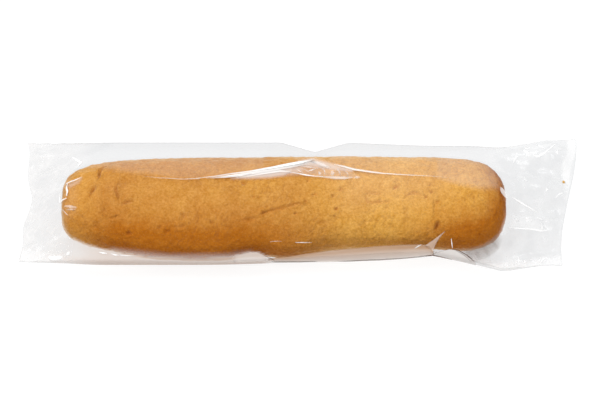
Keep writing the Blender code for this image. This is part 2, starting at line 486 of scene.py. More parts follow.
crustLook = {
    "ripe": (0.585, 0.260, 0.054),
    "fair": (0.775, 0.398, 0.078),
    # browner lower crust, also darker as painted shade where the lower side turns from the light
    "low": (0.462, 0.146, 0.010),
    "brownShadeSpan": (0.030, 0.0535),
    "lowWander": 0.003,
    "bake": (  # along the roll in millimetres: share of the fair crust, share of the low brown with its painted shade
        (-152, 0.75, 0.45), (-133, 0.50, 0.60), (-118, 0.10, 1.0), (-92, 0.12, 1.35), (-40, 0.12, 1.30),
        (-10, 0.25, 0.90), (18, 0.50, 0.50), (45, 0.75, 0.08), (73, 1.0, 0.10), (96, 0.98, 0.52),
        (118, 0.95, 1.05), (138, 0.95, 1.25), (150, 0.0, 1.60),
    ),
    # colour of the painted shade in wrinkles and cracks
    "hollow": (0.26, 0.085, 0.030),
    "paintedSheen": (0.88, 0.64, 0.34),  # painted sheen: paler where the crust is seen edge on
    "paintedSheenPower": 4.5,
    "paintedSheenSpan": (0.118, 0.150),  # along the roll, where it fades out
    "broad": (28.0, 3.0, 0.5, -0.25, 0.25),  # noise: scale, detail, roughness, lowest, highest
    "mottle": (190.0, 4.0, 0.65, 0.0, 1.0),
    "mottleTones": ((0.91, 0.86, 0.70), (1.07, 1.11, 1.24)),
    "grain": (640.0, 3.0, 0.75, 0.0, 1.0),
    "grainTones": ((0.84, 0.77, 0.58), (1.12, 1.20, 1.42)),
    "pores": (1100.0, 3.0, 0.65, 0.0, 1.0),
    "poreDepth": 0.0003,
    "creases": (330.0, 2.0, 0.5, 0.0, 1.0),
    "creaseDepth": 0.0009,
    "roughness": 0.62,
    "shine": 0.06,
    "bump": 0.6,
}


def crustFinish():
    material, nodes, surface = startMaterial("bakedCrust")
    shader = addNode(nodes, "ShaderNodeBsdfPrincipled", Roughness=crustLook["roughness"])
    shader.inputs["Specular IOR Level"].default_value = crustLook["shine"]
    broad = speckled(nodes, *crustLook["broad"])
    share = calculate(nodes, "ADD", painted(nodes, "fair"), broad)
    color = mixColors(nodes, share, crustLook["ripe"], crustLook["fair"])
    color = mixColors(nodes, painted(nodes, "brownAndShade"), color, crustLook["low"])
    # painted shade in wrinkles and cracks
    color = mixColors(nodes, painted(nodes, "hollow"), color, crustLook["hollow"])
    # painted sheen: the crust's colour turns paler where it is seen edge on
    facing = nodes.new("ShaderNodeLayerWeight")
    paintedSheen = calculate(nodes, "POWER", facing.outputs["Facing"], crustLook["paintedSheenPower"])
    paintedSheen = calculate(nodes, "MULTIPLY", paintedSheen, painted(nodes, "paintedSheen"))
    color = mixColors(nodes, paintedSheen, color, crustLook["paintedSheen"])
    for key in ("mottle", "grain"):
        tone = mixColors(nodes, speckled(nodes, *crustLook[key]), *crustLook[key + "Tones"])
        color = mixColors(nodes, 1.0, color, tone, "MULTIPLY")
    feed(shader.inputs["Base Color"], color)
    relief = shader.inputs["Normal"]
    for key, depth in (("creases", "creaseDepth"), ("pores", "poreDepth")):
        bump = addNode(nodes, "ShaderNodeBump", Strength=crustLook["bump"], Distance=crustLook[depth])
        feed(bump.inputs["Height"], speckled(nodes, *crustLook[key]))
        feed(relief, bump.outputs[0])
        relief = bump.inputs["Normal"]
    feed(surface, shader.outputs[0])
    return material


# The film, drawn flat between its folds and its seals wherever the crust doesn't lift it.
bag = {
    "leftReach": 0.180,
    "leftLean": 0.001,
    "leftDraw": 0.0045,
    "leftRipple": 0.0012,
    "leftRipples": 2.5,
    "rightReach": 0.1888,
    "rightLean": 0.0155,
    "rightLeanSpan": (0.08, 1.0),
    "sealWidth": 0.008,
    "sealHeight": 0.022,
    "span": 0.0008,  # both film layers and the air between them
    "gap": 0.0004,  # between the upper film and the crust
    "backReach": 0.0550,
    "backHeight": 0.026,
    "backTaper": 0.0030,
    "backTaperSpan": (0.030, 0.110),
    "rightFlare": 0.0105,
    "leftFlare": 0.0037,
    "rightFlareFrom": 0.145,
    "leftFlareFrom": 0.130,
    "notchAt": 0.0213,
    "notchDepth": 0.0088,
    "notchWidth": 0.0235,
    "notchRounding": 0.04,
    "frontReach": 0.0475,
    "frontHeight": 0.018,
    "frontTaper": 0.0063,
    "frontTaperSpan": (-0.060, 0.100),
    "frontSwell": (  # along x, both in millimetres
        (55, 0.0), (102, -1.8), (128, 5.6), (147, 12.8), (154, 13.6), (164, 13.0), (178, 11.4), (200, 10.0),
    ),
    "settleFrom": 0.120,
    "gatherBefore": 0.012,
    "gatherAfter": 0.021,
    "sealShare": 0.4,
    "leftWave": 0.0016,
    "leftPitch": 0.021,
    "leftPhase": 0.8,
    "rightWave": 0.0020,
    "rightPitch": 0.034,
    "rightPhase": -0.6,
    "brimWhite": 0.60,  # painted reflection of the crust and painted shade, as a tan haze of the folded film along the front
    "brimWarm": 0.62,
    "brimFade": 1.2,
    "brimStart": (-0.168, -0.120),
    "brimEnd": (-0.016, -0.006),
    "brimUnder": 0.55,
    "underSpan": (0.004, 0.014),
    "brimOutline": (
        (30, 240), (74, 238), (85, 243.6), (100, 248.6), (120, 252.2), (150, 257.2), (200, 258.6),
        (230, 256.4), (250, 251.8), (258, 252.2), (265, 255.6), (273, 259.2), (300, 262), (300, 272),
        (30, 272),
    ),
    "finClear": 0.0002,  # between the front fold and the fin that hangs from it
    "restingGloss": 0.03,  # of the film that lies on the crust
    "restingFade": 2.0,
    "lowerGloss": 0.3,
    "looseSpan": (0.0001, 0.0007),  # gap over which the film turns glossy
    "restingOutline": (
        (62.5, 205), (64, 191), (68, 181), (76, 174), (88, 170), (100, 171), (165, 179), (200, 181),
        (231, 179), (285, 178), (350, 180), (432, 178), (478, 180), (492, 182), (500, 182), (506, 190),
        (509, 207), (508, 220), (503, 231), (496, 240.5), (484, 246), (470, 249.5), (440, 251),
        (300, 256), (200, 257), (150, 256), (120, 252), (100, 248), (84, 244), (74, 240), (67, 232),
        (63, 221),
    ),
    "rollOutline": (
        (61.5, 206), (63, 190), (67, 180), (74, 171), (85, 165.5), (100, 162), (120, 160), (150, 158),
        (200, 156.5), (300, 156), (400, 156), (450, 157.5), (470, 160), (485, 164), (495, 170),
        (500, 178), (504, 190), (506, 207), (504, 219), (500, 231), (495, 239), (485, 245.5),
        (470, 249.5), (430, 252), (300, 257), (180, 258), (150, 257), (120, 253), (100, 249.5),
        (85, 245.5), (74, 240), (67, 232), (63, 222),
    ),
    "stations": 400,
    "lanes": 110,
    "steps": ((50, 28, 900), (100, 55, 500), (200, 110, 300), (400, 110, 200)),  # stations, lanes, rounds
    "roughGrid": (60, 30),  # enough to find the film's outline
    "sortWay": (1.0, 0.37, 0.11),  # a slanting direction that tells any two faces apart
}


def backFold(x):
    # where the film's back fold lies there, and how high
    taper = bag["backTaper"] * smoothStep(x, *bag["backTaperSpan"])
    flare = bag["rightFlare"] * smoothStep(x, bag["rightFlareFrom"], bag["rightReach"])
    flare = flare + bag["leftFlare"] * smoothStep(-x, bag["leftFlareFrom"], bag["leftReach"])
    width = bag["notchWidth"]
    away = np.sqrt(((x - bag["notchAt"]) / width) ** 2 + bag["notchRounding"] ** 2)
    reach = bag["backReach"] - taper + flare - bag["notchDepth"] * np.clip(1.0 - away, 0.0, 1.0)
    settle = smoothStep(np.abs(x), bag["settleFrom"], bag["leftReach"])
    return reach, bag["backHeight"] + (bag["sealHeight"] - bag["backHeight"]) * settle


def frontFold(x):
    # where the front fold lies there, and how high
    taper = bag["frontTaper"] * smoothStep(x, *bag["frontTaperSpan"])
    swell = np.interp(x * 1000, *np.array(bag["frontSwell"]).T) / 1000
    settle = smoothStep(np.abs(x), bag["settleFrom"], bag["leftReach"])
    height = bag["frontHeight"] + (bag["sealHeight"] - bag["frontHeight"]) * settle
    return taper - swell - bag["frontReach"], height


def endEdges(t):
    # the seals' ends, from the front fold at 0 to the back fold at 1
    left = -bag["leftReach"] + bag["leftLean"] * t + bag["leftDraw"] * np.sin(math.pi * t) ** 2
    left = left + bag["leftRipple"] * np.sin(2.0 * math.pi * bag["leftRipples"] * t)
    return left, bag["rightReach"] + bag["rightLean"] * smoothStep(t, *bag["rightLeanSpan"])


def softFolds(x, y, left, right):
    # waves that run from the roll's tips into the tails
    end, share, width = roll["length"] / 2, bag["sealShare"], bag["sealWidth"]
    leftShare = smoothStep(-x, end - bag["gatherBefore"], end + bag["gatherAfter"])
    rightShare = smoothStep(x, end - bag["gatherBefore"], end + bag["gatherAfter"])
    leftShare = leftShare * (share + (1.0 - share) * smoothStep(x - left, 0.0, width))
    rightShare = rightShare * (share + (1.0 - share) * smoothStep(right - x, 0.0, width))
    leftWave = bag["leftWave"] * np.sin(2.0 * math.pi * y / bag["leftPitch"] + bag["leftPhase"])
    rightWave = bag["rightWave"] * np.sin(2.0 * math.pi * y / bag["rightPitch"] + bag["rightPhase"])
    return leftShare * leftWave + rightShare * rightWave


def planGrid(stations, lanes):
    s = np.linspace(0.0, 1.0, stations + 1)[:, None]
    t = np.linspace(0.0, 1.0, lanes + 1)[None, :]
    left, right = endEdges(t)
    x = left + (right - left) * s
    back, backHeight = backFold(x)
    front, frontHeight = frontFold(x)
    return x, front + (back - front) * t, frontHeight + (backHeight - frontHeight) * t, left, right


# Where the roll's middle lies in the CAD's frame: the film's left and back edges meet its box.
filmX, filmY, _, _, _ = planGrid(*bag["roughGrid"])
rollAt = Vector((bagLow.x - filmX.min(), bagHigh.y - filmY.max(), 0.0))
print("the roll's middle is at", tuple(round(v, 5) for v in rollAt))


def resized(heights, stations, lanes):
    # the same sheet on a finer grid
    wasStations, wasLanes = heights.shape[0] - 1, heights.shape[1] - 1
    s = np.linspace(0, wasStations, stations + 1)
    t = np.linspace(0, wasLanes, lanes + 1)
    rows = np.array([np.interp(s, np.arange(wasStations + 1), column) for column in heights.T]).T
    return np.array([np.interp(t, np.arange(wasLanes + 1), row) for row in rows])


def drawnTight(above):
    # film pulled flat between its edges, lying on the crust wherever it meets it, coarse grid first
    film = None
    for stations, lanes, rounds in bag["steps"]:
        x, y, middle, _, _ = planGrid(stations, lanes)
        crust = crustTop(x, y) + bag["gap"] if above else crustBase(x, y)
        edge = middle + (bag["span"] / 2 if above else -bag["span"] / 2)
        if film is None:
            film = edge.copy()
        else:
            inner = resized(film, stations, lanes)[1:-1, 1:-1]
            film = edge.copy()
            film[1:-1, 1:-1] = inner
        pullX = (stations / (bag["leftReach"] + bag["rightReach"])) ** 2
        pullY = (lanes / (bag["backReach"] + bag["frontReach"])) ** 2
        for _ in range(rounds):
            along = film[2:, 1:-1] + film[:-2, 1:-1]
            across = film[1:-1, 2:] + film[1:-1, :-2]
            film[1:-1, 1:-1] = (pullX * along + pullY * across) / (2.0 * (pullX + pullY))
            film = np.maximum(film, crust) if above else np.minimum(film, crust)
    return film


# Where the film hangs clear of the crust or lies double it is painted whiter: partly the film's own
# milkiness, partly painted reflection of the bright room and painted highlights along its folds. Each gives
# the share of white, how far the edge fades either way, and the outline in the photograph's pixels.
hazesAndReflections = {
    "behind the crown, far left": (
        0.08, 4.5,
        (76, 150), (80, 166), (98, 167), (111, 169), (142, 173), (168, 175), (220, 175), (220, 150),
    ),
    "behind the crown, left": (
        0.07, 2.0,
        (150, 150), (150, 174), (175, 177.5), (200, 178), (231, 174), (264, 168.5), (264, 150),
    ),
    "behind the crown, middle": (
        0.03, 1.0,
        (264, 150), (264, 168.5), (298, 161.5), (314, 157), (330, 159), (330, 150),
    ),
    "behind the crown, right": (
        0.09, 1.2,
        (330, 150), (330, 161), (353, 169.8), (371, 172.3), (408, 175.3), (432, 176.8), (448, 178),
        (448, 150),
    ),
    "behind the crown, right end": (
        0.13, 5.0,
        (436, 150), (434, 178), (452, 183), (478, 188), (499, 188), (496, 170), (486, 150),
    ),
    "along the lower left edge": (
        0.32, 5.0,
        (112, 250), (140, 253), (170, 256), (230, 255.5), (250, 252.5), (258, 266), (112, 266),
    ),
    "over the right half": (
        0.06, 28.0,
        (345, 140), (335, 178), (350, 200), (410, 200), (445, 186), (450, 140),
    ),
    "under the long fold": (
        0.42, 2.4,
        (232, 178), (250, 173), (275, 170), (293, 167), (293, 172), (284, 175.5), (270, 177.4),
        (250, 178.4),
    ),
    "end of the long fold": (0.34, 3.6, (284, 168), (300, 165), (306, 169), (299, 173.5), (286, 174.5)),
    "cloud at the fold's peak": (
        0.42, 3.0,
        (298, 161), (312, 158), (324, 161), (340, 165.5), (354, 169), (352, 172), (330, 170), (312, 167),
        (298, 166),
    ),
    "crumpled middle": (
        0.17, 3.0,
        (284, 172), (300, 165), (318, 162), (335, 167), (350, 171), (362, 177), (334, 178), (306, 175),
    ),
    "below the left crease": (0.2, 2.0, (66, 185), (82, 177.5), (79, 183), (70, 188)),
    "left tip": (0.03, 5.0, (58, 180), (70, 178), (78, 190), (76, 212), (66, 222), (58, 214)),
    "right end seal": (
        0.45, 2.4,
        (566, 140), (567, 152), (562, 163), (561.5, 180), (564, 190), (569, 190), (572, 165), (576, 152),
        (577, 138),
    ),
    "right corner": (0.28, 3.0, (524, 146), (540, 143), (552, 143), (546, 150), (534, 158), (526, 158)),
    "beside the right tip": (
        0.22, 4.0,
        (509, 194), (516, 197), (530, 208), (542, 214), (541, 229), (512, 228), (508, 214),
    ),
}


def insideDepth(px, py, outline):
    # how far inside the outline, below 0 outside it
    corners = np.array(outline, float)
    near, inside = np.full(px.shape, np.inf), np.zeros(px.shape, bool)
    for a, b in zip(corners, np.roll(corners, -1, axis=0)):
        run = b - a
        share = np.clip(((px - a[0]) * run[0] + (py - a[1]) * run[1]) / (run @ run), 0.0, 1.0)
        near = np.minimum(near, np.hypot(px - a[0] - share * run[0], py - a[1] - share * run[1]))
        if a[1] != b[1]:
            inside ^= ((a[1] > py) != (b[1] > py)) & (px < a[0] + (py - a[1]) / run[1] * run[0])
    return np.where(inside, near, -near)


def insideShare(px, py, outline, fade):
    return smoothStep(insideDepth(px, py, outline), -fade, fade)


# Straight creases of the crumpled ends: turn in degrees from the x axis, pitch and height.
crumples = {
    "left": (
        (70, 0.017, 0.0010), (-35, 0.013, 0.0008), (15, 0.021, 0.0009), (100, 0.008, 0.0004),
        (-60, 0.0065, 0.0003),
    ),
    "right": (
        (62, 0.026, 0.0010), (-20, 0.019, 0.0009), (115, 0.015, 0.0006), (30, 0.010, 0.0004),
        (-70, 0.008, 0.0003),
    ),
    "leftSeed": 0.013,
    "rightSeed": 0.047,
    "span": (0.138, 0.160),  # where they set in, from the roll's middle
    "apart": 0.37,  # pitches between one crease's start and the next one's
    "warp": 0.35,
    "warpSize": 0.030,
    "patchSize": 0.021,
    "patchSeed": 0.1,
    "patchSpan": (-0.25, 0.25),
    "deepest": 0.35,  # share of the room between the films
}


def crumpleLift(x, y, creases, seed):
    # flat facets between straight creases, which come and go
    lift = np.zeros(x.shape)
    bend = noiseField(x, y, np.full(x.shape, seed), crumples["warpSize"])
    for k, (turn, pitch, height) in enumerate(creases):
        a = math.radians(turn)
        along = (x * math.cos(a) + y * math.sin(a)) / pitch
        along = along + crumples["warp"] * bend + crumples["apart"] * k
        tent = np.abs((along % 1.0) * 2.0 - 1.0) - 0.5
        flat = np.full(x.shape, seed + crumples["patchSeed"] * (k + 1))
        strength = noiseField(x, y, flat, crumples["patchSize"])
        lift += height * tent * smoothStep(strength, *crumples["patchSpan"])
    return lift


# The flat tails are painted a little white: the film's milkiness, painted light that leaves the left tail
# brighter than the right, and painted glints along paler wrinkles and patches.
tails = {
    "span": (0.118, 0.150),
    "besideRoll": (-1.0, 2.0),  # pixels outside its outline
    "left": 0.22,
    "right": 0.16,
    # the left tail's tan is painted warmer light
    "leftWarm": 0.12,
    "broad": 0.07,
    "broadSize": 0.030,
    "patches": 0.10,
    "patchSize": 0.009,
    "wrinkles": 0.08,
    "wrinkleSize": 0.0075,
    "wrinkleThin": 2.6,
    "seeds": (0.9, 0.2, 0.6),  # which slice of the noise they take: broad, patches, wrinkles
}


def tailHazeAndGlints(x, y, outside):
    broadFlat, patchFlat, lineFlat = (np.full(x.shape, seed) for seed in tails["seeds"])
    milk = np.where(x < 0.0, tails["left"], tails["right"])
    broad = noiseField(x, y, broadFlat, tails["broadSize"])
    patches = noiseField(x, y, patchFlat, tails["patchSize"], 2)
    lines = noiseField(x, y, lineFlat, tails["wrinkleSize"], 2)
    lines = np.clip(1.0 - np.abs(lines) * tails["wrinkleThin"], 0.0, 1.0) ** 2
    haze = milk + tails["broad"] * broad + tails["patches"] * patches + tails["wrinkles"] * lines
    return np.clip(haze, 0.0, 1.0) * smoothStep(np.abs(x), *tails["span"]) * outside


def filmSheets():
    # the grid's x and y, then height, gloss, white and tan of the upper film and of the lower one
    x, y, middle, left, right = planGrid(bag["stations"], bag["lanes"])
    upper, lower = drawnTight(True), drawnTight(False)
    print("film drawn over the roll")
    loose = smoothStep(upper - crustTop(x, y) - bag["gap"], *bag["looseSpan"])
    leftLift = crumpleLift(x, y, crumples["left"], crumples["leftSeed"])
    rightLift = crumpleLift(x, y, crumples["right"], crumples["rightSeed"])
    lift = np.where(x < 0.0, leftLift, rightLift) * smoothStep(np.abs(x), *crumples["span"])
    upper = upper + np.clip(lift, -crumples["deepest"] * (upper - lower), None)
    width = bag["sealWidth"]
    seal = np.maximum(1.0 - smoothStep(x - left, 0.0, width), 1.0 - smoothStep(right - x, 0.0, width))
    upper = upper + (middle + bag["span"] / 2 - upper) * seal
    lower = lower + (middle - bag["span"] / 2 - lower) * seal
    wave = softFolds(x, y, left, right)
    upper, lower = upper + wave, lower + wave
    front, _ = frontFold(x)
    px, py = photoPixels(x + rollAt.x, y + rollAt.y, upper + rollAt.z)
    # painted tan and white along the front fold, upper and lower film: reflection of the crust and shade
    # under the roll
    starts = smoothStep(x, *bag["brimStart"])
    warm = insideShare(px, py, bag["brimOutline"], bag["brimFade"]) * starts
    under = 1.0 - smoothStep(y - front, *bag["underSpan"])
    underWarm = under * starts * (1.0 - smoothStep(x, *bag["brimEnd"]))
    outside = smoothStep(-insideDepth(px, py, bag["rollOutline"]), *tails["besideRoll"])
    hazeAndHighlight = np.maximum(bag["brimWhite"] * warm, tailHazeAndGlints(x, y, outside))
    for white, fade, *outline in hazesAndReflections.values():
        hazeAndHighlight = np.maximum(hazeAndHighlight, white * insideShare(px, py, outline, fade))
    resting = insideShare(px, py, bag["restingOutline"], bag["restingFade"])
    gloss = bag["restingGloss"] + (1.0 - bag["restingGloss"]) * loose * (1.0 - resting)
    lowerGloss = np.full(x.shape, bag["lowerGloss"])
    # tan: painted reflection of the crust along the front, and painted warmer light on the left tail
    warm = bag["brimWarm"] * warm + tails["leftWarm"] * (1.0 - warm) * smoothStep(-x, *tails["span"])
    underWarm = bag["brimWarm"] * underWarm
    return x, y, (upper, gloss, hazeAndHighlight, warm), (lower, lowerGloss, bag["brimUnder"] * under, underWarm)


def makeBag(*films):
    # films are for above and below; returns what later pieces are laid on
    x, y, upper, lower = filmSheets()
    bm = bmesh.new()
    layers = [bm.verts.layers.float.new(name) for name in ("gloss", "hazeAndHighlight", "warm")]
    bmesh.ops.create_grid(bm, x_segments=bag["stations"], y_segments=bag["lanes"], size=0.5)
    below = list(bm.verts)
    raised = bmesh.ops.extrude_face_region(bm, geom=bm.faces[:], use_keep_orig=True)
    above = [part for part in raised["geom"] if isinstance(part, bmesh.types.BMVert)]
    for verts, (heights, *values) in ((below, lower), (above, upper)):
        for v in verts:
            i = round((v.co.x + 0.5) * bag["stations"])
            j = round((v.co.y + 0.5) * bag["lanes"])
            v.co = Vector((x[i, j], y[i, j], heights[i, j])) + rollAt
            for layer, value in zip(layers, values):
                v[layer] = value[i, j]
    top = set(above)
    for face in bm.faces:
        face.material_index = 0 if top.issuperset(face.verts) else 1
    bm.normal_update()
    bmesh.ops.recalc_face_normals(bm, faces=bm.faces)
    bm.faces.sort(key=lambda face: face.calc_center_median().dot(bag["sortWay"]))  # alike in every run
    sheet = BVHTree.FromBMesh(bm)
    keep(bm, "film_bag", "film", *films)
    return sheet


# Pinched folds drawn over the film, with painted highlights along them: each point is a pixel of the
# photograph, then the fold's width in millimetres and its share of painted white there.
pinches = {
    "core": 0.5,  # middle share of the width that is fully white, as painted highlight
    "rise": 0.035,  # height over width
    "most": 0.0002,  # greatest height
    "clear": 0.0003,  # gap under its feet, which clears the panels
    "step": 1.2,  # pixels between sections
    "lines": (
        # the long fold across the crown
        ((142, 176.4, 0.7, 0.0), (159, 178, 0.9, 0.25), (183, 179.4, 0.9, 0.30), (200, 178.6, 1.2, 0.35)),
        (
            (196, 178.6, 0.7, 0.2), (214, 176.6, 1.2, 0.5), (231, 174, 1.5, 0.6),
            (250, 171.6, 1.9, 0.75), (274, 167.6, 3.0, 0.92), (290, 164.6, 4.2, 0.98),
            (300, 162.8, 4.2, 0.95), (308, 161.2, 3.4, 0.6), (316, 159.6, 1.8, 0.1),
        ),
        ((206, 178.4, 0.6, 0.2), (225, 177.7, 1.1, 0.5), (241, 176, 1.3, 0.6), (252, 174, 0.9, 0.2)),
        (
            (236, 178, 0.8, 0.2), (250, 176.2, 1.6, 0.5), (266, 173.4, 2.2, 0.65),
            (280, 171.4, 2.4, 0.7), (290, 171.8, 1.4, 0.5),
        ),
        (
            (288, 172.2, 0.8, 0.3), (298, 173.7, 1.1, 0.6), (305.5, 175.2, 1.6, 0.9),
            (314, 176.3, 1.3, 0.5), (323, 176.8, 1.2, 0.4),
        ),
        (
            (320, 176.8, 1.4, 0.2), (334, 178, 3.2, 0.42), (345, 178.2, 3.2, 0.42),
            (353, 177.6, 1.6, 0.2),
        ),
        (
            (311, 161.2, 2.5, 0.1), (317, 163, 4.4, 0.42), (324, 165.8, 4.4, 0.42),
            (330, 168.2, 2.6, 0.1),
        ),
        (
            (334, 164.6, 1.6, 0.2), (344, 166.9, 2.4, 0.6), (354, 169.7, 2.4, 0.7),
            (371, 172.2, 2.0, 0.65), (383, 173.6, 1.4, 0.6), (407, 175.2, 1.2, 0.42),
            (432, 176.4, 1.0, 0.2), (450, 178, 0.8, 0.0),
        ),
        ((308, 171.6, 1.2, 0.2), (311.5, 170.4, 1.8, 0.6), (315, 169.2, 1.2, 0.2)),
        ((318.8, 171.4, 1.6, 0.1), (319.9, 173.6, 2.4, 0.42), (319.4, 175.8, 1.6, 0.1)),
        ((331.4, 170.4, 2.0, 0.1), (332.8, 173, 3.6, 0.40), (331.8, 176.4, 2.2, 0.1)),
        ((353, 178.1, 1.6, 0.1), (356.7, 177.5, 3.0, 0.36), (360.4, 177.6, 1.6, 0.1)),
        ((300, 166.8, 0.8, 0.2), (309, 167.4, 1.2, 0.6), (318, 169, 0.8, 0.2)),
        ((295, 168.4, 0.6, 0.3), (299, 171, 0.9, 0.6), (304, 173.6, 0.6, 0.2)),
        ((302.6, 169, 0.5, 0.2), (306.4, 170.6, 0.7, 0.45), (309, 173, 0.5, 0.1)),
        ((322, 168.2, 0.8, 0.2), (324.6, 171, 1.2, 0.4), (325.4, 175.6, 0.8, 0.1)),
        ((336, 168, 0.8, 0.1), (339, 171.4, 1.4, 0.35), (340.6, 175.6, 0.8, 0.1)),
        ((344.6, 170.6, 0.8, 0.1), (347.4, 173.4, 1.2, 0.3), (348.6, 176.4, 0.8, 0.1)),
        # the left end
        ((72.3, 157.6, 0.8, 0.8), (77, 160.5, 2.6, 0.95), (81, 163, 3.2, 0.85), (78, 166.6, 1.6, 0.4)),
        ((66.2, 184.2, 1.4, 0.7), (70, 182.2, 1.7, 0.7), (76, 180, 1.9, 0.55), (82, 177.4, 1.1, 0.25)),
        (
            (67.6, 184.2, 1.2, 0.5), (66.6, 188, 1.9, 0.85), (67.6, 191.4, 2.0, 0.9),
            (66.8, 196, 1.3, 0.7),
        ),
        ((60.6, 203, 1.1, 0.5), (62.4, 200.4, 1.5, 0.7), (66.8, 198.2, 1.2, 0.45)),
        ((60, 194, 0.8, 0.4), (59.8, 199, 1.2, 0.7), (60.4, 204, 0.8, 0.4)),
        ((64.5, 206.2, 1.4, 0.15), (70, 206.6, 2.6, 0.35), (77, 207.6, 1.6, 0.15)),
        ((66, 209.8, 1.0, 0.1), (71, 209.4, 1.6, 0.3), (76, 209.6, 1.0, 0.1)),
        ((62.6, 209.8, 0.8, 0.3), (67.8, 215.2, 0.9, 0.35)),
        ((99, 252.2, 0.9, 0.5), (103, 253, 1.5, 0.9), (107, 253.4, 0.9, 0.5)),
        ((110.5, 253.6, 0.8, 0.4), (115, 254.8, 1.4, 0.85), (118.5, 255.4, 0.8, 0.4)),
        ((119, 255, 0.8, 0.5), (127, 255.6, 1.1, 0.65), (137, 255.6, 0.7, 0.2)),
        ((48, 257.5, 2.0, 0.4), (53, 258.4, 4.5, 0.8), (60, 257.6, 3.6, 0.7), (63, 256, 1.5, 0.2)),
        ((66, 255.5, 1.2, 0.3), (68, 253.6, 2.6, 0.7), (70.5, 251.4, 1.2, 0.3)),
        # the right end
        (
            (533.6, 155.8, 1.0, 0.56), (537.5, 156.8, 2.2, 0.76), (543, 154, 2.2, 0.76),
            (549, 149.4, 1.4, 0.72), (555.4, 144.4, 0.8, 0.48),
        ),
        ((523.4, 150, 1.6, 0.4), (527, 152.6, 3.6, 0.68), (528.4, 157, 1.4, 0.32)),
        ((524.5, 147.6, 1.2, 0.32), (526.5, 149.6, 2.2, 0.56), (530.8, 147.8, 1.2, 0.4)),
        ((536.5, 144.8, 1.4, 0.4), (541, 147, 2.8, 0.72), (545.5, 149.2, 1.2, 0.32)),
        ((556.8, 150.6, 1.4, 0.4), (557, 152.8, 2.2, 0.68), (557.2, 155, 1.2, 0.32)),
        ((512.6, 164, 1.2, 0.16), (514.4, 160.2, 2.6, 0.4), (517, 156.8, 1.4, 0.16)),
        (
            (511.6, 197.4, 1.0, 0.4), (516, 200, 2.4, 0.76), (523, 204.2, 2.4, 0.76),
            (530, 208.4, 1.6, 0.64), (538, 213, 0.9, 0.24),
        ),
        (
            (508, 227.6, 1.0, 0.24), (516, 228.2, 1.6, 0.64), (530, 229.2, 1.8, 0.76),
            (541, 230.8, 2.0, 0.76), (547, 231.2, 0.9, 0.32),
        ),
        ((540.8, 222.6, 1.2, 0.32), (541.8, 226, 2.0, 0.68), (541.6, 230, 2.0, 0.72)),
        ((514, 217.6, 1.4, 0.24), (516.4, 219.4, 2.6, 0.6), (518.6, 221.4, 1.2, 0.24)),
        ((536.5, 218.4, 1.2, 0.32), (539.6, 218.8, 2.2, 0.6), (542.6, 220.4, 1.2, 0.32)),
        ((528, 217.6, 1.2, 0.24), (530.4, 219.4, 2.0, 0.48), (532.6, 221.6, 1.2, 0.24)),
        ((563.6, 192.6, 1.0, 0.4), (559, 194.4, 1.8, 0.6), (555.2, 198.2, 1.0, 0.4)),
        ((563.8, 192.4, 0.9, 0.4), (568.4, 191.8, 0.9, 0.56)),
        ((546, 187.6, 1.0, 0.4), (547, 190, 1.8, 0.68), (545.2, 192.6, 1.0, 0.24)),
        ((524.5, 177, 1.6, 0.08), (525.4, 180.4, 3.6, 0.32), (527, 183, 1.6, 0.08)),
        ((518.6, 257.6, 0.9, 0.48), (518.8, 261.4, 1.3, 0.68), (519, 265.4, 0.9, 0.48)),
        ((515.8, 258.8, 0.8, 0.32), (516, 264.6, 0.8, 0.4)),
        ((524.4, 260.2, 1.2, 0.4), (524.8, 262.2, 1.8, 0.64), (525.4, 264, 1.0, 0.32)),
        ((538.4, 261.6, 0.9, 0.4), (541.2, 258, 0.9, 0.56)),
        ((539.4, 264, 1.1, 0.4), (544.4, 258.6, 1.2, 0.68)),
        # the front
        ((270, 241.6, 0.6, 0.2), (276, 241, 0.7, 0.3), (282, 241.2, 0.6, 0.1)),
        ((295, 242.3, 0.6, 0.4), (302, 242.4, 0.8, 0.65), (312, 242.5, 0.6, 0.2)),
        ((451.3, 238.6, 0.6, 0.5), (451.9, 243.6, 0.8, 0.9), (452.5, 248.2, 0.6, 0.5)),
        ((414.6, 248.4, 0.8, 0.4), (418, 246.2, 1.2, 0.7), (421.4, 244.6, 0.8, 0.4)),
    ),
}


def sampled(path, step):
    # the path in even steps, every column alike
    path = np.array(path, float)
    run = np.concatenate([[0.0], np.cumsum(np.hypot(np.diff(path[:, 0]), np.diff(path[:, 1])))])
    at = np.linspace(0.0, run[-1], max(round(run[-1] / step), 2) + 1)
    return np.stack([np.interp(at, run, column) for column in path.T], axis=1)


def onFilm(sheet, px, py):
    # the point of the film that a pixel of the photograph shows, and its normal
    start, way = photoRay(px, py)
    spot, normal, _, _ = sheet.ray_cast(start, way)
    if spot is None or normal.z < 0.0:
        spot = start + way * ((bag["sealHeight"] - start.z) / way.z)
        if spot.y < 0.0:  # just below the front fold, where only the fin hangs
            front = float(frontFold(np.array(spot.x - rollAt.x))[0]) + rollAt.y
            spot = start + way * ((front - bag["finClear"] - start.y) / way.y)
            return spot, Vector((0.0, -way.y, -way.z)).normalized()
        spot, normal, _, _ = sheet.find_nearest(spot)
    return spot, normal


